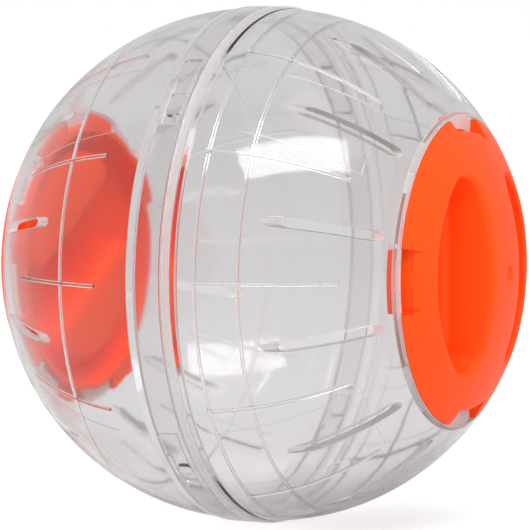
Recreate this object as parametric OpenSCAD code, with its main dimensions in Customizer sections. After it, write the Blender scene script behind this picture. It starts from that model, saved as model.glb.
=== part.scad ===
// Hamster ball: two clear half shells that twist together at the seam, and a round twist-in door at each pole.
// The long axis of the ball runs through both doors, along Y, and the front door faces -Y. +Z is up.
// The origin is the centre of the ball.
// Each half is drawn round its own axis, with its pole on +Z, and is then turned to its place.

/* [Ball] */
// Outside diameter of each domed half
ball_d = 120; // [110:1:150]
// Distance of each dome's centre from the middle plane, which makes the ball a little longer than wide
dome_offset = 1.9; // [1.2:0.1:3]
// Thickness of the clear wall
wall = 1.8; // [1.5:0.1:2.2]

/* [Seam] */
// How far the collar band stands out from the domes
band_rise = 0.4; // [0.2:0.1:1]
// How far the collar reaches past the middle plane, over the spigot
collar_reach = 3.4; // [3:0.1:5]
// Straight width of the band on the front side of the middle plane
band_back = 5.6; // [4.5:0.1:7]
// Length of the slope from the band down to the dome
band_slope_l = 1.5; // [1:0.1:3]
// Wall of the collar, which covers the spigot
collar_wall = 1.7; // [1.5:0.05:2]
// Depth of the collar's inner shoulder in front of the middle plane
shoulder_depth = 2.6; // [2.2:0.1:3.2]
// Radial gap between the collar and the spigot
seam_gap = 0.15; // [0.1:0.05:0.3]
// Gap at each end of the lap joint
end_gap = 0.25; // [0.1:0.05:0.4]
// Wall of the spigot at its tip
spigot_tip_wall = 1.2; // [1:0.05:1.4]
// Wall of the spigot at its root, where the moulding draft makes it thicker
spigot_root_wall = 1.55; // [1.45:0.05:1.8]
// Length of the thick root past the rear shoulder
spigot_root_l = 0.85; // [0.5:0.05:1.5]

/* [Seam lock] */
// Number of twist locks round the seam
lock_count = 4; // [2:1:6]
// Angle of the first lug at rest, measured up from the left side of the ball
lock_angle = 40.9; // [36:0.1:50]
// Width of a lug round the seam
lug_w = 6.3; // [4:0.1:8]
// Length of a lug along the ball's axis
lug_l = 3.4; // [2.4:0.1:3.8]
// Height of a lug above the spigot
lug_rise = 0.85; // [0.5:0.05:0.9]
// Distance of the lugs' centre behind the middle plane
lug_set = 0.5; // [0.2:0.1:0.9]
// Radius of a lug's corners
lug_corner_r = 0.9; // [0.4:0.1:1.1]
// Clearance round a lug in its channel
lug_gap = 0.2; // [0.1:0.05:0.3]
// Turn that takes a lug from rest to its entry slot, in degrees
lock_turn = 10; // [8:0.5:14]
// Spare turn past the locked place, in degrees
lock_slack = 2.3; // [1:0.1:4]

/* [Vents] */
// Number of vent slots in each half
vent_count = 12; // [8:1:14]
// Width of a vent slot
vent_w = 2.4; // [1.6:0.1:3.2]
// Solid land between the doorway and a vent slot
vent_door_land = 3.5; // [2.5:0.1:5]
// Angle from the pole at which a vent slot of the front half ends, in degrees
vent_end_angle = 63.9; // [56:0.1:70]

/* [Ribs and rings] */
// Width of a running rib
rib_w = 0.9; // [0.6:0.1:1.4]
// Height of a running rib above the inner wall
rib_h = 0.5; // [0.3:0.05:0.9]
// Distance from the doorway to the end of a rib
rib_door_land = 8.9; // [7:0.1:11]
// Angle from the pole at which a rib of the front half starts, in degrees
rib_start_angle = 82.3; // [79:0.1:83]
// Radius of the half-round rings inside the wall
ring_r = 0.45; // [0.3:0.05:0.7]
// Angle from the pole of the ring that crosses the ribs on the front half, in degrees
ring_angle = 72; // [69:0.1:76]
// Angle from the pole of the ring beside the seam, which only the front half has, in degrees
seam_ring_angle = 81.5; // [79:0.1:82]
// How much nearer to the pole the rear half has its vents, ribs and rings, in degrees
rear_pattern_shift = 5.2; // [0:0.1:6]
// How far the rear half's vents, ribs and doorway are turned against the front half's, in degrees
rear_pattern_turn = -1.5; // [-3:0.1:3]

/* [Doorway] */
// Diameter of the doorway's rebate
doorway_d = 71.4; // [64:0.1:76]
// Depth of the rebate below the edge of the dome
rebate_depth = 1.12; // [0.9:0.01:1.5]
// Thickness of the ledge that the door's rim rests on
ledge_t = 1; // [0.8:0.1:1.4]
// Width of the ledge
ledge_w = 3.1; // [2.6:0.1:4]

/* [Doors] */
// Radial gap between a door's rim and its rebate
door_gap = 0.3; // [0.2:0.05:0.5]
// Gap between the ledge and the rim above it, and between the ledge and a tab below it
seat_gap = 0.1; // [0.08:0.01:0.2]
// Radial gap between a door's hub and the ledge
hub_gap = 0.5; // [0.3:0.05:0.8]
// Thickness of a door's domed face
door_skin = 1.6; // [1.2:0.1:2]
// Wall of the hub ring that carries the tabs
hub_wall = 1.5; // [1.2:0.1:2]
// How far the hub reaches past the tabs
hub_lip = 0.2; // [0.1:0.05:0.5]
// Number of tabs on a door
tab_count = 4; // [3:1:4]
// Angle that a tab spans, in degrees
tab_angle = 23; // [16:0.5:26]
// Thickness of a tab
tab_t = 1.4; // [1:0.1:1.8]
// Angular clearance of a tab in its entry gap, and of the slot in the rim over a tab, in degrees
tab_play = 0.75; // [0.5:0.05:1.5]
// Width of the stop block at the locked end of each tab
stop_w = 1.2; // [0.8:0.1:2]
// Gap between a tab and its stop block, in degrees
stop_gap_angle = 0.6; // [0.4:0.1:1.5]
// Angle of the rear door's tabs, in degrees
rear_door_angle = 60; // [50:1:70]

/* [Grip] */
// Radius of the outer wall of the two finger wells
grip_r = 26; // [22:0.5:28]
// Width of the grip bar between the wells
bar_w = 16; // [12:0.5:20]
// Depth of the wells' floor below the door's pole
well_depth = 12.4; // [11:0.1:14]
// Radius of the wells' corners, seen from outside
well_corner_r = 4.5; // [3.5:0.1:6]
// Radius round the wells' floor
well_floor_r = 2; // [1:0.1:3]
// How far a well's sides lean in between the pole's height and the floor
well_lean = 1.2; // [0.6:0.1:1.8]
// Wall of the finger wells
well_wall = 1.6; // [1.2:0.1:2]
// Diameter of the moulding gate's dimple at a door's pole
gate_d = 4; // [2:0.1:5]
// Depth of the dimple
gate_depth = 0.6; // [0.3:0.1:1]

/* [Hidden] */
$fn = 128;
// Sides of the outlines that hulls join
hull_sides = 40;
// Overrun of every cut, and the sinking of a detail into the wall that carries it
over = wall / 4;
// Share of a slope's length by which it runs on into the wall
sink_share = 0.2;
ball_r = ball_d / 2;
inner_r = ball_r - wall;
pole_z = dome_offset + ball_r;
clear_tint = [0.85, 0.86, 0.88, 0.4];
door_orange = [1, 0.27, 0.06];

// Seam radii, from the outside in
band_r = ball_r + band_rise;
collar_inner_r = band_r - collar_wall;
spigot_r = collar_inner_r - seam_gap;
spigot_tip_inner_r = spigot_r - spigot_tip_wall;
spigot_root_inner_r = spigot_r - spigot_root_wall;
// Heights along each half's own axis
band_top = band_back + band_slope_l;
rear_shoulder = collar_reach + end_gap;
root_top = rear_shoulder + spigot_root_l;
root_blend_top = root_top + band_slope_l;
spigot_tip = end_gap - shoulder_depth;

// Lock channel
lug_half_angle = lug_w / spigot_r * 90 / PI;
lug_gap_angle = lug_gap / spigot_r * 180 / PI;
channel_r = spigot_r + lug_rise + lug_gap;
channel_l = lug_l + 2 * lug_gap;
entry_span = 2 * (lug_half_angle + lug_gap_angle);
// The channel runs one more clearance past its entry slot
channel_span = lock_slack + lock_turn + entry_span;

// Doorway and door
doorway_r = doorway_d / 2;
ledge_inner_r = doorway_r - ledge_w;
ledge_top = dome_z(ball_r, doorway_r) - rebate_depth;
ledge_low = ledge_top - ledge_t;
door_r = doorway_r - door_gap;
hub_r = ledge_inner_r - hub_gap;
rim_low = ledge_top + seat_gap;
tab_top = ledge_low - seat_gap;
tab_low = tab_top - tab_t;
hub_low = tab_low - hub_lip;
// The tabs go in half way between their locked places
tab_pitch = 360 / tab_count;
entry_angle = tab_angle + 2 * tab_play;
stop_h = ledge_low - tab_low;
stop_angle = stop_w / doorway_r * 180 / PI;
well_floor_z = pole_z - well_depth;

// Height on a dome of radius r, whose centre stands at dome_offset, at a distance from the axis
function dome_z(r, from_axis) = dome_offset + sqrt(r * r - from_axis * from_axis);
// Distance from the axis on the same dome, at a height
function dome_x(r, z) = sqrt(r * r - (z - dome_offset) * (z - dome_offset));
// The point a little past b on the line from a, so that a slope ends inside the wall that it meets
function beyond(a, b) = b + sink_share * (b - a);

// Section of a half's wall, from low_z up to the doorway
module wall_section(low_z) {
    intersection() {
        translate([0, dome_offset])
            difference() {
                circle(ball_r);
                circle(inner_r);
            }
        translate([doorway_r, low_z])
            square([ball_r, ball_r]);
    }
}

// Front seam: a raised band, the collar that covers the spigot, and the shoulder behind it
module collar_section() {
    polygon([
        [collar_inner_r, -collar_reach],
        [band_r, -collar_reach],
        [band_r, band_back],
        beyond([band_r, band_back], [dome_x(ball_r, band_top), band_top]),
        beyond([spigot_tip_inner_r, band_back], [dome_x(inner_r, band_top), band_top]),
        [spigot_tip_inner_r, band_back],
        [spigot_tip_inner_r, shoulder_depth],
        [collar_inner_r, shoulder_depth]
    ]);
}

// Rear seam: the spigot, drafted inside, and its blend into the wall
module spigot_section() {
    polygon([
        [spigot_tip_inner_r, spigot_tip],
        [spigot_r, spigot_tip],
        [spigot_r, root_blend_top],
        beyond([spigot_root_inner_r, root_top], [dome_x(inner_r, root_blend_top), root_blend_top]),
        [spigot_root_inner_r, root_top]
    ]);
}

// One arc of a ring with a rectangular section, centred on the X axis
module ring_arc(inside_r, outside_r, low_z, high_z, span) {
    rotate([0, 0, -span / 2])
        rotate_extrude(angle = span)
            translate([inside_r, low_z])
                square([outside_r - inside_r, high_z - low_z]);
}

// The ledge of the doorway: an arc between each pair of entry gaps, with a stop block under one end
module ledge(first_angle) {
    for (k = [0 : tab_count - 1])
        rotate([0, 0, first_angle + k * tab_pitch]) {
            ring_arc(ledge_inner_r, doorway_r + over, ledge_low, ledge_top, tab_pitch - entry_angle);
            rotate([0, 0, -tab_angle / 2 - stop_gap_angle - stop_angle / 2])
                ring_arc(ledge_inner_r + hub_gap, doorway_r - door_gap, ledge_low - stop_h, ledge_low + over, stop_angle);
        }
}

// A vent slot, cut straight along the ball's axis as the mould pulls
module vent(end_angle) {
    near_r = doorway_r + vent_door_land + vent_w / 2;
    far_r = ball_r * sin(end_angle) - vent_w / 2;
    for (r = [near_r, far_r])
        translate([r, 0, 0])
            cylinder(h = pole_z, d = vent_w);
    translate([near_r, -vent_w / 2, 0])
        cube([far_r - near_r, vent_w, pole_z]);
}

// Running ribs: radial plates, kept only in a thin layer inside the wall
module ribs(start_angle) {
    low_z = dome_offset + inner_r * cos(start_angle);
    near_r = doorway_r + rib_door_land;
    intersection() {
        rotate_extrude()
            intersection() {
                translate([0, dome_offset])
                    difference() {
                        circle(inner_r + over);
                        circle(inner_r - rib_h);
                    }
                translate([near_r, low_z])
                    square([ball_r, ball_r]);
            }
        for (k = [0 : vent_count - 1])
            rotate([0, 0, k * 360 / vent_count])
                translate([near_r - over, -rib_w / 2, 0])
                    cube([ball_r, rib_w, pole_z]);
    }
}

// Half-round ring on the inner wall
module ring(from_pole) {
    rotate_extrude()
        translate([inner_r * sin(from_pole), dome_offset + inner_r * cos(from_pole)])
            circle(ring_r);
}

// Everything that both halves share: vents, ribs, rings and the doorway's ledge
module dressed_half(shift, first_tab_angle) {
    difference() {
        union() {
            children();
            ribs(rib_start_angle - shift);
            ring(ring_angle - shift);
            ledge(first_tab_angle);
        }
        for (k = [0 : vent_count - 1])
            rotate([0, 0, (k + 1 / 2) * 360 / vent_count])
                vent(vent_end_angle - shift);
    }
}

// Channel for one lug inside the collar, with the entry slot at the end where the lug comes in
module lock_channel() {
    middle_z = -lug_set;
    rotate([0, 0, lug_half_angle + lock_slack - channel_span / 2])
        ring_arc(collar_inner_r - over, channel_r, middle_z - channel_l / 2, middle_z + channel_l / 2, channel_span);
    rotate([0, 0, -lock_turn])
        ring_arc(collar_inner_r - over, channel_r, -collar_reach - over, middle_z, entry_span);
}

// One lug: a rounded pad on the spigot
module lug() {
    long_flat = lug_l - 2 * lug_corner_r;
    wide_flat = lug_w - 2 * lug_corner_r;
    intersection() {
        rotate_extrude()
            translate([spigot_r - over, -lug_l])
                square([over + lug_rise, 2 * lug_l]);
        translate([spigot_r - 2 * over, 0, lug_set])
            rotate([0, 90, 0])
                linear_extrude(lug_rise + 4 * over)
                    union() {
                        square([lug_l, wide_flat], center = true);
                        square([long_flat, lug_w], center = true);
                        for (x = [-long_flat / 2, long_flat / 2], y = [-wide_flat / 2, wide_flat / 2])
                            translate([x, y])
                                circle(lug_corner_r);
                    }
    }
}

// Section of a door: the domed skin, the rim that lies in the rebate, and the hub
module door_section() {
    intersection() {
        translate([0, dome_offset])
            circle(ball_r);
        union() {
            difference() {
                square([door_r, pole_z]);
                translate([0, dome_offset])
                    circle(ball_r - door_skin);
                translate([hub_r - hub_wall, 0])
                    square([door_r, rim_low]);
            }
            translate([hub_r - hub_wall, rim_low])
                square([door_r - hub_r + hub_wall, pole_z]);
            translate([hub_r - hub_wall, hub_low])
                square([hub_wall, pole_z]);
        }
    }
}

// Outline of a finger well: a disc cut off by the grip bar, with round corners
module well_outline(grow) {
    corner = well_corner_r + grow;
    offset(r = corner)
        offset(delta = -corner)
            intersection() {
                circle(grip_r + grow, $fn = hull_sides * 2);
                translate([bar_w / 2 - grow, -ball_r])
                    square([ball_r, ball_d]);
            }
}

// A finger well, or with grow the solid round it: sides that lean in, and a rounded edge round the floor
module well(grow, top_z) {
    hull() {
        translate([0, 0, top_z])
            linear_extrude(over)
                well_outline(grow, $fn = hull_sides);
        translate([0, 0, well_floor_z + well_floor_r - grow])
            linear_extrude(over)
                well_outline(grow - well_lean, $fn = hull_sides);
        translate([0, 0, well_floor_z - grow])
            linear_extrude(over)
                well_outline(grow - well_lean - well_floor_r, $fn = hull_sides);
    }
}

// A door: one moulding, with its grip bar along Y and its first tab on X
module door() {
    difference() {
        union() {
            rotate_extrude()
                door_section();
            for (k = [0 : tab_count - 1])
                rotate([0, 0, k * tab_pitch])
                    ring_arc(hub_r - over, door_r, tab_low, tab_top, tab_angle);
            intersection() {
                translate([0, 0, dome_offset])
                    sphere(ball_r);
                for (side = [0, 180])
                    rotate([0, 0, side])
                        well(well_wall, pole_z);
            }
        }
        for (k = [0 : tab_count - 1])
            rotate([0, 0, k * tab_pitch])
                ring_arc(hub_r, door_r + over, tab_top, pole_z, tab_angle + 2 * tab_play);
        for (side = [0, 180])
            rotate([0, 0, side])
                well(0, pole_z);
        translate([0, 0, pole_z - gate_depth])
            cylinder(h = pole_z, d = gate_d);
    }
}

// Each half turned from its own axis to the ball's: the front pole to -Y, the rear pole to +Y
module to_front() {
    rotate([90, 0, 0])
        children();
}

module to_rear() {
    rotate([-90, 0, 0])
        children();
}

module front_shell() {
    color(clear_tint)
        to_front()
            difference() {
                dressed_half(0, 0) {
                    rotate_extrude() {
                        wall_section(band_back);
                        collar_section();
                    }
                    ring(seam_ring_angle);
                }
                for (k = [0 : lock_count - 1])
                    rotate([0, 0, -lock_angle + k * 360 / lock_count])
                        lock_channel();
            }
}

module rear_shell() {
    color(clear_tint)
        to_rear()
            rotate([0, 0, rear_pattern_turn])
                dressed_half(rear_pattern_shift, rear_door_angle) {
                    rotate_extrude() {
                        wall_section(rear_shoulder);
                        spigot_section();
                    }
                    for (k = [0 : lock_count - 1])
                        rotate([0, 0, lock_angle - rear_pattern_turn + k * 360 / lock_count])
                            lug();
                }
}

module front_door() {
    color(door_orange)
        to_front()
            door();
}

module rear_door() {
    color(door_orange)
        to_rear()
            rotate([0, 0, rear_door_angle + rear_pattern_turn])
                door();
}

front_shell();
rear_shell();
front_door();
rear_door();
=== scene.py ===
import math

import bmesh
import bpy
from mathutils import Matrix, Vector


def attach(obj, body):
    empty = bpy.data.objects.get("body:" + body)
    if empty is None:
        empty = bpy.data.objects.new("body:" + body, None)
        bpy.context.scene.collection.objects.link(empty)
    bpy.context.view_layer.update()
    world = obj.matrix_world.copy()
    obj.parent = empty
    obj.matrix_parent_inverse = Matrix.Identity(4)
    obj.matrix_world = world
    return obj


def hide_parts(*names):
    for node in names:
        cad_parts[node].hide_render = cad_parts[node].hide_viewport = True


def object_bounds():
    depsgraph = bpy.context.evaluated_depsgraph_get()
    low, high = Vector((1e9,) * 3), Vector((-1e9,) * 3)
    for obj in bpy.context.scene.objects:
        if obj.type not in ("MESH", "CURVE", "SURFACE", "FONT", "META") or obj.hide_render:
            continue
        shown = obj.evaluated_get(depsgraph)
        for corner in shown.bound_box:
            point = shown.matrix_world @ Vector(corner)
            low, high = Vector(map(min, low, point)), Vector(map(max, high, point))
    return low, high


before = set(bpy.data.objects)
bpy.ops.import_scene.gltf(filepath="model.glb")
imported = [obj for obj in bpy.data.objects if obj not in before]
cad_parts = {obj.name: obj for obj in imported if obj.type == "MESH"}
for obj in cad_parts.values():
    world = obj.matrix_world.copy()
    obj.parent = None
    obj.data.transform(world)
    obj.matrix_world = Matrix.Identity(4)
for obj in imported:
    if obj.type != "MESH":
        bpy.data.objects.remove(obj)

# The camera
# It looks at the ball from its left and a little above its middle, with the front door turned to the right.
# A long lens from just under a metre away, as in a packshot.
cad_low, cad_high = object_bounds()
view_azimuth = math.radians(-64.5)
view_elevation = math.radians(4.4)
view_distance = 0.9
frame_width = 0.1244
sensor_width = 36.0
aim_right = 0.00014
aim_down = 0.00023

camera_data = bpy.data.cameras.new("camera")
camera_data.sensor_width = sensor_width
camera_data.lens = sensor_width * view_distance / frame_width
camera = bpy.data.objects.new("camera", camera_data)
bpy.context.scene.collection.objects.link(camera)
towards_camera = Vector((
    math.sin(view_azimuth) * math.cos(view_elevation),
    -math.cos(view_azimuth) * math.cos(view_elevation),
    math.sin(view_elevation),
))
turned = (-towards_camera).to_track_quat("-Z", "Y")
camera.rotation_euler = turned.to_euler()
camera.location = towards_camera * view_distance + turned @ Vector((aim_right, -aim_down, 0))
bpy.context.scene.camera = camera
bpy.context.scene.view_settings.view_transform = "Standard"


# The studio
# A white floor that runs into a white room, a wide soft box above the camera and a weaker one high at the
# right. The floor glows a little, like a light table. The room is white to the eye and pale grey in glass.
floor_half_size = 6.0
floor_white = (0.63, 0.63, 0.63, 1)
floor_light = 0.3
floor_to_eye = 0.42
floor_in_glass = 0.02
room_light = 1.04
room_to_eye = 1
room_in_glass = 0.72
white = (1, 1, 1, 1)


class Paint:
    """One socket of a shader. Arithmetic on it adds Math nodes, and node() adds any other node."""

    def __init__(self, tree, socket=None):
        self.tree = tree
        self.socket = socket

    def node(self, kind, inputs=None, out=0, **settings):
        made = self.tree.nodes.new(kind)
        for name, value in settings.items():
            setattr(made, name, value)
        for name, value in (inputs or {}).items():
            if isinstance(value, Paint):
                self.tree.links.new(value.socket, made.inputs[name])
            else:
                made.inputs[name].default_value = value
        return Paint(self.tree, made.outputs[out])

    def maths(self, operation, first, second):
        return self.node("ShaderNodeMath", {0: first, 1: second}, operation=operation)

    def __add__(self, other):
        return self.maths("ADD", self, other)

    __radd__ = __add__

    def __mul__(self, other):
        return self.maths("MULTIPLY", self, other)

    __rmul__ = __mul__


def blank_tree(block):
    """An empty shader tree for a material or the world, and its output node."""
    block.use_nodes = True
    block.node_tree.nodes.clear()
    kind = "ShaderNodeOutputWorld" if isinstance(block, bpy.types.World) else "ShaderNodeOutputMaterial"
    return Paint(block.node_tree), block.node_tree.nodes.new(kind)


def seen(paint, as_light, directly, in_glass):
    """One strength for light that falls on a surface, one for what the camera sees directly, and one for what
    it sees in a reflection or through glass."""
    path = paint.node("ShaderNodeLightPath").socket.node
    camera_ray = Paint(paint.tree, path.outputs["Is Camera Ray"])
    glossy_ray = Paint(paint.tree, path.outputs["Is Glossy Ray"])
    glass_ray = Paint(paint.tree, path.outputs["Is Transmission Ray"])
    either_ray = paint.maths("MINIMUM", glossy_ray + glass_ray, 1)
    return as_light + camera_ray * (directly - as_light) + either_ray * (in_glass - as_light)


room = bpy.data.worlds.new("room")
bpy.context.scene.world = room
paint, end = blank_tree(room)
strength = seen(paint, room_light, room_to_eye, room_in_glass)
air = paint.node("ShaderNodeBackground", {"Color": white, "Strength": strength})
paint.tree.links.new(air.socket, end.inputs["Surface"])

bm = bmesh.new()
bmesh.ops.create_grid(bm, x_segments=1, y_segments=1, size=floor_half_size)
bmesh.ops.translate(bm, verts=bm.verts, vec=(0, 0, cad_low.z))
floor_mesh = bpy.data.meshes.new("floor")
bm.to_mesh(floor_mesh)
bm.free()
floor = bpy.data.objects.new("floor", floor_mesh)
bpy.context.scene.collection.objects.link(floor)
floor_paint = bpy.data.materials.new("white_floor")
paint, end = blank_tree(floor_paint)
matt = paint.node("ShaderNodeBsdfDiffuse", {"Color": floor_white})
strength = seen(paint, floor_light, floor_to_eye, floor_in_glass)
glow = paint.node("ShaderNodeEmission", {"Color": white, "Strength": strength})
both = paint.node("ShaderNodeAddShader", {0: matt, 1: glow})
paint.tree.links.new(both.socket, end.inputs["Surface"])
floor.data.materials.append(floor_paint)


def soft_box(name, side_angle, up_angle, distance, width, height, power):
    """A soft box that faces the ball, at angles to the right of the camera's line of sight and above it."""
    lamp = bpy.data.lights.new(name, "AREA")
    lamp.shape = "RECTANGLE"
    lamp.size = width
    lamp.size_y = height
    lamp.energy = power
    box = bpy.data.objects.new(name, lamp)
    bpy.context.scene.collection.objects.link(box)
    side = math.radians(side_angle)
    up = math.radians(up_angle)
    out = turned @ Vector((math.sin(side) * math.cos(up), math.sin(up), math.cos(side) * math.cos(up)))
    box.location = out * distance
    box.rotation_euler = (-out).to_track_quat("-Z", "Y").to_euler()


soft_box("upper_box", side_angle=14, up_angle=48, distance=1.2, width=0.95, height=0.34, power=6.0)
soft_box("right_box", side_angle=45, up_angle=60, distance=1.3, width=0.4, height=0.8, power=0.6)


# The clear halves
# Two injection mouldings of clear polystyrene, each a deep dome with a doorway at its pole, vent slots cut
# straight along the axis, and fine running ribs and rings inside. Each is made upright, with its pole at the
# top, and turned to its end of the ball at last. This section has what the two share.
dome_r = 0.060
dome_offset = 0.0019
wall = 0.0018
inner_r = dome_r - wall
edge_r = 0.00012
corner_bend = 15
turn_steps = 240
dome_steps = 40
round_steps = 8
sunk = 0.0004
sliver = 0.000002
quarters = (0, 90, 180, 270)
satin_number = 1
shell_sharp_angle = 28

band_back = 0.0056
shoulder_depth = 0.0026
root_satin_top = 0.0043
spigot_tip_inner_r = 0.05735
across_axis = 0.9

doorway_r = 0.0357
ledge_inner_r = 0.0326
ledge_top = 0.0490
ledge_low = 0.0480
tab_angle = 23
entry_angle = 24.5
tab_low = 0.0465
stop_gap_angle = 0.6
stop_angle = 1.9

vent_count = 12
vent_w = 0.0024
vent_near_r = 0.0392
vent_end_angle = 63.9
rib_w = 0.0009
rib_h = 0.0005
rib_near_r = 0.0446
rib_start_angle = 82.3
ring_r = 0.0004
ring_angle = 72

insert_half_w = 0.0091
insert_line_w = 0.00022
insert_line_h = 0.00012
insert_top_z = 0.0408
insert_start_angle = 83
insert_turn = 45

# Grey tint of the clear plastic: partly its own colour, partly painted shade that darkens the walls in place
# of the darker surroundings seen through the ball.
clear_tint_with_painted_shade = (0.93, 0.917, 0.921, 1)
lamp_tint = (0.985, 0.98, 0.98, 1)
clear_ior = 1.45
wave_scale = 55
wave_h = 0.002
wave_strength = 0.06
haze_scale = 420
haze_share = 0.05


def dome_z(r, from_axis):
    """Height on a dome of radius r, at a distance from the axis."""
    return dome_offset + math.sqrt(r * r - from_axis * from_axis)


def dome_arc(r, start, end, steps):
    """Points on a dome's section, as (distance from the axis, height), between two angles from the pole."""
    points = []
    for k in range(steps + 1):
        angle = start + (end - start) * k / steps
        points.append((r * math.sin(angle), dome_offset + r * math.cos(angle)))
    return points


def ring_bump(angle):
    """Half-round bump on the inner wall's section, from its seam side to its pole side."""
    points = []
    for k in range(round_steps + 1):
        swing = math.pi * k / round_steps
        along = ring_r / inner_r * math.cos(swing)
        r = inner_r - ring_r * math.sin(swing)
        points.append((r * math.sin(angle + along), dome_offset + r * math.cos(angle + along)))
    return points


def inner_wall(start, ring_angles):
    """The inner wall's section from the seam up to the doorway, with its rings."""
    points = []
    here = start
    half = ring_r / inner_r
    for ring in ring_angles:
        points += dome_arc(inner_r, here, ring + half, steps=8)[:-1]
        points += ring_bump(ring)
        here = ring - half
    top = math.asin(doorway_r / inner_r)
    return points + dome_arc(inner_r, here, top, steps=24)[1:]


def turned_solid(section, rounding, steps):
    """A bmesh of the section turned once round the axis, with every corner of the section rounded. A point
    beside each corner keeps the faces between corners straight when they are shaded smoothly."""
    bm = bmesh.new()
    face = bm.faces.new([bm.verts.new((r, 0, z)) for r, z in section])
    corners = [v for v in face.verts if v.co.x > 0 and v.calc_edge_angle(0) > math.radians(corner_bend)]
    rounded = bmesh.ops.bevel(
        bm, geom=corners, offset=rounding, offset_type="OFFSET", affect="VERTICES",
        segments=3, profile=0.5, material=-1, clamp_overlap=True,
    )
    round_ends = set(rounded["verts"])
    bmesh.ops.delete(bm, geom=list(bm.faces), context="FACES_ONLY")
    for edge in list(bm.edges):
        for end in [v for v in edge.verts if v in round_ends]:
            if edge.calc_length() > 3 * rounding:
                far = edge.other_vert(end)
                beside = bmesh.utils.edge_split(edge, end, rounding / edge.calc_length())[1]
                edge = bm.edges.get((beside, far))
    on_axis = [e for e in bm.edges if all(v.co.x < 1e-9 for v in e.verts)]
    bmesh.ops.delete(bm, geom=on_axis, context="EDGES")
    bmesh.ops.spin(
        bm, geom=list(bm.verts) + list(bm.edges), cent=(0, 0, 0), axis=(0, 0, 1),
        angle=math.tau, steps=steps, use_merge=True,
    )
    bmesh.ops.remove_doubles(bm, verts=bm.verts, dist=1e-7)
    bmesh.ops.recalc_face_normals(bm, faces=bm.faces)
    return bm


def add_arc(bm, section, middle, span, steps):
    """Adds a stretch of a ring: the section, a list of (distance from the axis, height), swept through span
    degrees with its middle at the given angle."""
    start = math.radians(middle - span / 2)
    face = bm.faces.new([bm.verts.new((r * math.cos(start), r * math.sin(start), z)) for r, z in section])
    bmesh.ops.spin(
        bm, geom=[face, *face.edges, *face.verts], cent=(0, 0, 0), axis=(0, 0, 1),
        angle=math.radians(span), steps=steps,
    )


def box_section(low_r, high_r, low_z, high_z):
    return [(low_r, low_z), (high_r, low_z), (high_r, high_z), (low_r, high_z)]


def add_rib(bm, middle_y, width, height, start, end, turn):
    """Adds a round-backed ridge on the inner wall. It follows the dome between two angles from the pole, at a
    distance from a plane through the axis, and is turned round the axis by turn degrees."""
    low_r = math.sqrt(inner_r ** 2 - middle_y ** 2)
    profile = [(middle_y - width / 2, low_r + sunk), (middle_y + width / 2, low_r + sunk)]
    for k in range(round_steps + 1):
        swing = math.pi * k / round_steps
        profile.append((middle_y + width / 2 * math.cos(swing), low_r - height * math.sin(swing)))
    points = [Vector((r * math.sin(start), y, dome_offset + r * math.cos(start))) for y, r in profile]
    face = bm.faces.new([bm.verts.new(p) for p in points])
    before = set(bm.verts) - set(face.verts)
    bmesh.ops.spin(
        bm, geom=[face, *face.edges, *face.verts], cent=(0, 0, dome_offset), axis=(0, 1, 0),
        angle=end - start, steps=24,
    )
    ridge = [v for v in bm.verts if v not in before]
    bmesh.ops.rotate(bm, verts=ridge, cent=(0, 0, 0), matrix=Matrix.Rotation(math.radians(turn), 3, "Z"))


def add_vent(bm, end_angle, turn):
    """Adds the straight cutter of one vent slot: a flat bar with round ends, upright along the axis."""
    far_r = dome_r * math.sin(math.radians(end_angle)) - vent_w / 2
    near_r = vent_near_r + vent_w / 2
    sides = 24
    half_side = Matrix.Rotation(math.pi / sides, 4, "Z")
    disc = bmesh.ops.create_circle(
        bm, cap_ends=True, segments=sides, radius=vent_w / 2, matrix=half_side,
    )["verts"]
    bmesh.ops.translate(bm, verts=[v for v in disc if v.co.x < 0], vec=(near_r, 0, 0))
    bmesh.ops.translate(bm, verts=[v for v in disc if 0 < v.co.x < near_r / 2], vec=(far_r, 0, 0))
    face = disc[0].link_faces[0]
    grown = bmesh.ops.extrude_face_region(bm, geom=[face])
    top = [g for g in grown["geom"] if isinstance(g, bmesh.types.BMVert)]
    bmesh.ops.translate(bm, verts=top, vec=(0, 0, dome_r + dome_offset))
    bmesh.ops.rotate(
        bm, verts=disc + top, cent=(0, 0, 0), matrix=Matrix.Rotation(math.radians(turn), 3, "Z"),
    )


def plain_object(name, bm, finishes):
    """A new object of the bmesh, with its normals pointing outwards. The bmesh is used up."""
    bmesh.ops.recalc_face_normals(bm, faces=bm.faces)
    mesh = bpy.data.meshes.new(name)
    bm.to_mesh(mesh)
    bm.free()
    for finish in finishes:
        mesh.materials.append(finish)
    made = bpy.data.objects.new(name, mesh)
    bpy.context.scene.collection.objects.link(made)
    return made


def work_on(body, bm, operation, finish=0):
    """Moulds the solids of a bmesh onto the body, or cuts them out of it. The new faces have the finish of
    that number in the body's list."""
    tool = plain_object("tool", bm, body.data.materials)
    for face in tool.data.polygons:
        face.material_index = finish
    change = body.modifiers.new("change", "BOOLEAN")
    change.operation = operation
    change.solver = "EXACT"
    change.object = tool
    depsgraph = bpy.context.evaluated_depsgraph_get()
    mesh = bpy.data.meshes.new_from_object(body.evaluated_get(depsgraph))
    body.modifiers.clear()
    body.data = mesh
    bpy.data.objects.remove(tool)


def settle(body, name, matrix, sharp_angle):
    """Merges the slivers and spare points that the cuts leave in a finished moulding, and turns it to its
    place in the ball. It is shaded smoothly, except across edges that bend by more than the sharp angle."""
    bm = bmesh.new()
    bm.from_mesh(body.data)
    bmesh.ops.remove_doubles(bm, verts=bm.verts, dist=sliver)
    bmesh.ops.dissolve_degenerate(bm, edges=bm.edges, dist=sliver)
    bmesh.ops.dissolve_verts(bm, verts=[v for v in bm.verts if len(v.link_edges) == 2])
    bm.to_mesh(body.data)
    bm.free()
    body.name = name
    body.data.name = name
    body.data.transform(matrix)
    body.data.shade_smooth()
    body.data.set_sharp_from_angle(angle=math.radians(sharp_angle))


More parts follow.
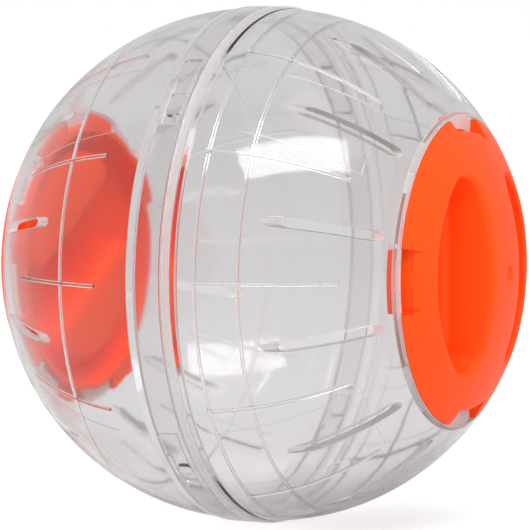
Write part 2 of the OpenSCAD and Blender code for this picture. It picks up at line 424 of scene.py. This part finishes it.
def satin_where_it_rubs(body):
    """Gives the satin finish to the faces across the axis at the seam, to the collar's root inside where the
    spigot meets it, and to the doorway's wall and ledge."""
    for face in body.data.polygons:
        from_axis = math.hypot(face.center.x, face.center.y)
        height = face.center.z
        at_seam = abs(face.normal.z) > across_axis and height < band_back + edge_r
        at_root = shoulder_depth < height < root_satin_top and from_axis < spigot_tip_inner_r + edge_r
        at_doorway = height > tab_low - sunk and from_axis < doorway_r + edge_r
        if at_seam or at_root or at_doorway:
            face.material_index = satin_number


def clear_plastic(name, roughness, clearness):
    """Clear polystyrene with the faint waviness of a moulded wall, its grey tint partly painted shade. Lamps
    shine through it.
    """
    material = bpy.data.materials.new(name)
    paint, end = blank_tree(material)
    place = paint.node("ShaderNodeTexCoord", out="Object")
    waves = paint.node("ShaderNodeTexNoise", {"Vector": place, "Scale": wave_scale, "Detail": 1})
    haze = paint.node("ShaderNodeTexNoise", {"Vector": place, "Scale": haze_scale, "Detail": 3})
    relief = paint.node("ShaderNodeBump", {"Height": waves, "Strength": wave_strength, "Distance": wave_h})
    glass = paint.node("ShaderNodeBsdfPrincipled", {
        "Base Color": clear_tint_with_painted_shade,
        "Roughness": roughness + haze * haze_share,
        "IOR": clear_ior,
        "Transmission Weight": clearness,
        "Normal": relief,
    })
    path = paint.node("ShaderNodeLightPath").socket.node
    lamp_ray = Paint(paint.tree, path.outputs["Is Shadow Ray"])
    through = paint.node("ShaderNodeBsdfTransparent", {"Color": lamp_tint})
    mixed = paint.node("ShaderNodeMixShader", {0: lamp_ray, 1: glass, 2: through})
    paint.tree.links.new(mixed.socket, end.inputs["Surface"])
    return material


polished = clear_plastic("polished_polystyrene", roughness=0.03, clearness=1)
satin = clear_plastic("satin_polystyrene", roughness=0.5, clearness=0.72)
to_front = Matrix.Rotation(math.radians(90), 4, "X")
to_rear = Matrix.Rotation(math.radians(-90), 4, "X")


def dress(body, shift, first_tab_angle):
    """Adds what both halves have: the doorway's ledge and stops, running ribs, insert lines and vent slots.
    These last three end nearer to the pole by shift degrees."""
    bm = bmesh.new()
    ledge = box_section(ledge_inner_r, doorway_r + sunk, ledge_low, ledge_top)
    for quarter in quarters:
        add_arc(bm, ledge, first_tab_angle + quarter, 90 - entry_angle, steps=24)
    work_on(body, bm, "UNION")
    bm = bmesh.new()
    stop = box_section(ledge_inner_r + sunk, doorway_r - sunk, tab_low, ledge_low + sunk)
    for quarter in quarters:
        turn = first_tab_angle + quarter - tab_angle / 2 - stop_gap_angle - stop_angle / 2
        add_arc(bm, stop, turn, stop_angle, steps=2)
    work_on(body, bm, "UNION")
    bm = bmesh.new()
    start = math.radians(rib_start_angle - shift)
    end = math.asin(rib_near_r / inner_r)
    for k in range(vent_count):
        add_rib(bm, 0, rib_w, rib_h, start, end, k * 360 / vent_count)
    work_on(body, bm, "UNION")
    bm = bmesh.new()
    start = math.radians(insert_start_angle - shift)
    end = math.acos((insert_top_z - dome_offset) / inner_r)
    top_r = math.sqrt(inner_r ** 2 - (insert_top_z - dome_offset) ** 2)
    top_span = 2 * math.degrees(math.asin(insert_half_w / top_r))
    cross = box_section(top_r - insert_line_h, top_r + sunk, insert_top_z, insert_top_z + insert_line_w)
    for quarter in quarters:
        for side in (-insert_half_w, insert_half_w):
            add_rib(bm, side, insert_line_w, insert_line_h, start, end, insert_turn + quarter)
        add_arc(bm, cross, insert_turn + quarter, top_span, steps=8)
    work_on(body, bm, "UNION")
    bm = bmesh.new()
    for k in range(vent_count):
        add_vent(bm, vent_end_angle - shift, (k + 0.5) * 360 / vent_count)
    work_on(body, bm, "DIFFERENCE", satin_number)


# The front half
# It ends in the raised collar on which the ball rolls. Inside the collar are four channels for the rear
# half's lugs, each with an entry slot from the collar's edge. The door's first tab is at 0 degrees.
band_r = 0.0604
band_top = 0.0071
collar_inner_r = 0.0587
collar_reach = 0.0034
seam_ring_angle = 81.5
channel_r = 0.0596
channel_l = 0.0038
lock_angle = 40.9
lock_turn = 10
lock_slack = 2.3
lug_set = 0.0005
lug_half_angle = 3.08
lug_gap_angle = 0.2

outer_end = math.acos((band_top - dome_offset) / dome_r)
outer = dome_arc(dome_r, math.asin(doorway_r / dome_r), outer_end, dome_steps)
collar = [
    (band_r, band_back),
    (band_r, -collar_reach),
    (collar_inner_r, -collar_reach),
    (collar_inner_r, shoulder_depth),
    (spigot_tip_inner_r, shoulder_depth),
    (spigot_tip_inner_r, root_satin_top),
    (spigot_tip_inner_r, band_back),
]
rings = [math.radians(seam_ring_angle), math.radians(ring_angle)]
inside = inner_wall(math.acos((band_back - dome_offset) / inner_r), rings)
bm = turned_solid(outer + collar + inside, edge_r, turn_steps)
front_half = plain_object("front_half", bm, [polished, satin])
dress(front_half, shift=0, first_tab_angle=0)
entry_span = 2 * (lug_half_angle + lug_gap_angle)
channel_span = lock_slack + lock_turn + entry_span
channel_low_z = -lug_set - channel_l / 2
bm = bmesh.new()
channel = box_section(collar_inner_r - sunk, channel_r, channel_low_z, channel_low_z + channel_l)
for quarter in quarters:
    locked = -lock_angle + quarter
    add_arc(bm, channel, locked + lug_half_angle + lock_slack - channel_span / 2, channel_span, steps=12)
work_on(front_half, bm, "DIFFERENCE")
bm = bmesh.new()
entry = box_section(collar_inner_r - sunk, channel_r, -collar_reach - sunk, -lug_set)
for quarter in quarters:
    add_arc(bm, entry, -lock_angle + quarter - lock_turn, entry_span, steps=6)
work_on(front_half, bm, "DIFFERENCE")
satin_where_it_rubs(front_half)
settle(front_half, "front_half_shell", to_front, shell_sharp_angle)
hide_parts("front_shell")
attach(front_half, "front_shell")


# The rear half
# It ends in a spigot that goes inside the collar, with four lugs that twist into the channels. Its vents,
# ribs, ring and insert lines end nearer to the pole than the front half's, and it is turned a little.
spigot_r = 0.05855
spigot_root_inner_r = 0.0573
spigot_tip = -0.00235
rear_shoulder = 0.00365
root_top = 0.0045
root_blend_top = 0.0060
rear_pattern_shift = 5.2
rear_pattern_turn = -1.5
rear_tab_angle = 60
lug_w = 0.0063
lug_l = 0.0034
lug_top_r = 0.0593
lug_corner_r = 0.0009

outer_end = math.acos((rear_shoulder - dome_offset) / dome_r)
outer = dome_arc(dome_r, math.asin(doorway_r / dome_r), outer_end, dome_steps)
spigot = [
    (spigot_r, rear_shoulder),
    (spigot_r, spigot_tip),
    (spigot_tip_inner_r, spigot_tip),
    (spigot_root_inner_r, root_top),
]
rings = [math.radians(ring_angle - rear_pattern_shift)]
inside = inner_wall(math.acos((root_blend_top - dome_offset) / inner_r), rings)
bm = turned_solid(outer + spigot + inside, edge_r, turn_steps)
rear_half = plain_object("rear_half", bm, [polished, satin])
dress(rear_half, rear_pattern_shift, rear_tab_angle)
rear_half.data.transform(Matrix.Rotation(math.radians(rear_pattern_turn), 4, "Z"))
lug_low_r = spigot_r - sunk
size = (lug_top_r - lug_low_r, lug_w, lug_l)
bm = bmesh.new()
for quarter in quarters:
    placed = set(bm.verts)
    pad = bmesh.ops.create_cube(bm, size=1, matrix=Matrix.Diagonal((*size, 1)))["verts"]
    upright = {e for v in pad for e in v.link_edges if abs(e.verts[0].co.x - e.verts[1].co.x) > size[0] / 2}
    bmesh.ops.bevel(
        bm, geom=list(upright), offset=lug_corner_r, offset_type="OFFSET", affect="EDGES",
        segments=5, profile=0.5, material=-1,
    )
    pad = [v for v in bm.verts if v not in placed]
    bmesh.ops.translate(bm, verts=pad, vec=(lug_low_r + size[0] / 2, 0, lug_set))
    to_lock = Matrix.Rotation(math.radians(lock_angle + quarter), 3, "Z")
    bmesh.ops.rotate(bm, verts=pad, cent=(0, 0, 0), matrix=to_lock)
work_on(rear_half, bm, "UNION")
satin_where_it_rubs(rear_half)
settle(rear_half, "rear_half_shell", to_rear, shell_sharp_angle)
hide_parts("rear_shell")
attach(rear_half, "rear_shell")


# The doors
# Two copies of one orange moulding: a domed lid with four bayonet tabs on a hub ring, a slot through the rim
# over each tab, where the mould closed on it, and a grip bar between two deep finger wells. The rear one is
# turned to the notches of its doorway.
door_r = 0.0354
door_skin = 0.0016
door_edge_r = 0.0002
door_turn_steps = 180
door_sharp_angle = 32
rim_low = 0.0491
hub_r = 0.0321
hub_inner_r = 0.0306
hub_low = 0.0463
tab_top = 0.0479
rim_slot_angle = 24.5
rim_slot_set = 0.0001
rim_slot_round = 0.0013
rim_slot_curve = ((0.9, 0.35), (0.4, -0.15), (0.1, -0.6), (0, -1.1))
grip_r = 0.0260
bar_half_w = 0.0080
well_corner_r = 0.0045
well_floor_z = 0.0495
well_lip_r = 0.0016
well_lip_start = 18
well_lip_above = 0.0002
well_lean = 0.0012
well_floor_r = 0.0020
well_wall = 0.0016
cover_shares = (0.05, 0.3, 0.5, 0.7, 0.85, 1)
arc_steps = 40
corner_steps = 12
bar_steps = 24
cover_round_steps = 6
gate_r = 0.0020
gate_floor_r = 0.0016
gate_depth = 0.0006

orange = (1.0, 0.08, 0.003, 1)
deep_orange = (0.97, 0.064, 0.0025, 1)
orange_roughness = 0.38
orange_ior = 1.49
orange_gloss = 0.15
flow_scale = 40
grain_scale = 900
grain_h = 0.3
grain_roughness = 0.12
relief_h = 0.0006
relief_strength = 0.08


def well_outline(grow):
    """A disc cut off by the grip bar, with round corners: its points, with grow added all round."""
    r = grip_r + grow
    bar = bar_half_w - grow
    corner = well_corner_r + grow
    centre = Vector((bar + corner, math.sqrt((r - corner) ** 2 - (bar + corner) ** 2)))
    tip = math.atan2(centre.y, centre.x)
    points = []
    for k in range(arc_steps + 1):
        angle = -tip + 2 * tip * k / arc_steps
        points.append(Vector((r * math.cos(angle), r * math.sin(angle))))
    for k in range(1, corner_steps + 1):
        angle = tip + (math.pi - tip) * k / corner_steps
        points.append(centre + corner * Vector((math.cos(angle), math.sin(angle))))
    for k in range(1, bar_steps):
        points.append(Vector((bar, centre.y * (1 - 2 * k / bar_steps))))
    for k in range(corner_steps):
        angle = math.pi + (math.pi - tip) * k / corner_steps
        points.append(Vector((centre.x, -centre.y)) + corner * Vector((math.cos(angle), math.sin(angle))))
    return points


def add_well(bm, levels, turn):
    """Adds a closed solid that is drawn down through well outlines, one after the other. A level is how much
    the outline grows, its share of the full size, and a function from the distance of a point to the axis to
    its height."""
    middle = Vector(((bar_half_w + grip_r) / 2, 0))
    cover = None
    every = []
    for grow, share, height in levels:
        outline = [middle + (p - middle) * share for p in well_outline(grow)]
        ring = [Vector((p.x, p.y, height(p.length))) for p in outline]
        if cover is None:
            face = bm.faces.new([bm.verts.new(p) for p in ring])
            cover = list(face.verts)
        else:
            face = bmesh.ops.extrude_discrete_faces(bm, faces=[face])["faces"][0]
            for v, p in zip(face.verts, ring):
                v.co = p
        every += list(face.verts)
    bm.faces.new(cover)
    bmesh.ops.rotate(bm, verts=every, cent=(0, 0, 0), matrix=Matrix.Rotation(math.radians(turn), 3, "Z"))


def well_levels():
    """The levels of the hollow: a round lip from the dome, leaning sides, and a round edge to the floor."""
    first = math.radians(well_lip_start)
    back = (well_lip_above + well_lip_r * (1 - math.cos(first))) / math.sin(first)
    grow = well_lip_r * (1 - math.sin(first)) + back * math.cos(first)
    levels = [(grow, 1, lambda r: dome_offset + dome_r + 2 * well_lip_r)]
    levels.append((grow, 1, lambda r: dome_z(dome_r, r) + well_lip_above))
    for k in range(round_steps + 1):
        swing = first + (math.pi / 2 - first) * k / round_steps
        depth = well_lip_r * (1 - math.cos(swing))
        levels.append((well_lip_r * (1 - math.sin(swing)), 1, lambda r, d=depth: dome_z(dome_r, r) - d))
    for k in range(round_steps + 1):
        swing = math.pi / 2 * k / round_steps
        height = well_floor_z + well_floor_r * (1 - math.sin(swing))
        levels.append((-well_lean - well_floor_r * (1 - math.cos(swing)), 1, lambda r, z=height: z))
    return levels


def shell_levels():
    """The levels of the solid round the hollow: a cover that follows the door's skin from inside, then the
    sides and the round edge below the floor."""
    levels = []
    for share in cover_shares:
        levels.append((well_wall, share, lambda r: dome_z(dome_r, r) - door_skin / 2))
    outer_r = well_floor_r + well_wall
    for k in range(cover_round_steps + 1):
        swing = math.pi / 2 * k / cover_round_steps
        height = well_floor_z - well_wall + outer_r * (1 - math.sin(swing))
        levels.append((well_wall - well_lean - outer_r * (1 - math.cos(swing)), 1, lambda r, z=height: z))
    return levels


def orange_plastic():
    """Opaque orange plastic with a satin gloss and the faint flow marks of a moulding."""
    material = bpy.data.materials.new("orange_plastic")
    paint, end = blank_tree(material)
    place = paint.node("ShaderNodeTexCoord", out="Object")
    flow = paint.node("ShaderNodeTexNoise", {"Vector": place, "Scale": flow_scale, "Detail": 2})
    grain = paint.node("ShaderNodeTexNoise", {"Vector": place, "Scale": grain_scale, "Detail": 2})
    colour = paint.node(
        "ShaderNodeMix", {"Factor": flow, "A": orange, "B": deep_orange}, out="Result", data_type="RGBA",
    )
    relief = paint.node("ShaderNodeBump", {
        "Height": grain * grain_h + flow,
        "Strength": relief_strength,
        "Distance": relief_h,
    })
    plastic = paint.node("ShaderNodeBsdfPrincipled", {
        "Base Color": colour,
        "Roughness": orange_roughness + grain * grain_roughness,
        "IOR": orange_ior,
        "Specular IOR Level": orange_gloss,
        "Normal": relief,
    })
    paint.tree.links.new(plastic.socket, end.inputs["Surface"])
    return material


orange_finish = orange_plastic()

for end_name, to_end, door_angle in (
    ("front", to_front, 0),
    ("rear", to_rear, rear_tab_angle + rear_pattern_turn),
):
    pole_z = dome_offset + dome_r
    skin_r = dome_r - door_skin
    section = [(0, pole_z - gate_depth), (gate_floor_r, pole_z - gate_depth)]
    section += dome_arc(dome_r, math.asin(gate_r / dome_r), math.asin(door_r / dome_r), dome_steps)
    section += [(door_r, rim_low), (hub_r, rim_low), (hub_r, hub_low), (hub_inner_r, hub_low)]
    section += dome_arc(skin_r, math.asin(hub_inner_r / skin_r), 0, steps=30)
    door = plain_object("door", turned_solid(section, door_edge_r, door_turn_steps), [orange_finish])
    bm = bmesh.new()
    for turn in (0, 180):
        add_well(bm, shell_levels(), turn)
    tab = box_section(hub_r - sunk, door_r, tab_low, tab_top)
    for quarter in quarters:
        add_arc(bm, tab, quarter, tab_angle, steps=12)
    work_on(door, bm, "UNION")
    bm = bmesh.new()
    for turn in (0, 180):
        add_well(bm, well_levels(), turn)
    work_on(door, bm, "DIFFERENCE")
    bm = bmesh.new()
    back_r = hub_r - rim_slot_set
    back_z = dome_z(dome_r, back_r)
    slot = [
        (back_r, (tab_top + rim_low) / 2),
        (door_r + sunk, (tab_top + rim_low) / 2),
        (door_r + sunk, pole_z),
        (back_r - 2 * rim_slot_round, pole_z),
    ]
    for inward, upward in rim_slot_curve:
        slot.append((back_r - inward * rim_slot_round, back_z + upward * rim_slot_round))
    for quarter in quarters:
        add_arc(bm, slot, quarter, rim_slot_angle, steps=12)
    work_on(door, bm, "DIFFERENCE")
    turn_door = Matrix.Rotation(math.radians(door_angle), 4, "Z")
    settle(door, end_name + "_domed_door", to_end @ turn_door, door_sharp_angle)
    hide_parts(end_name + "_door")
    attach(door, end_name + "_door")
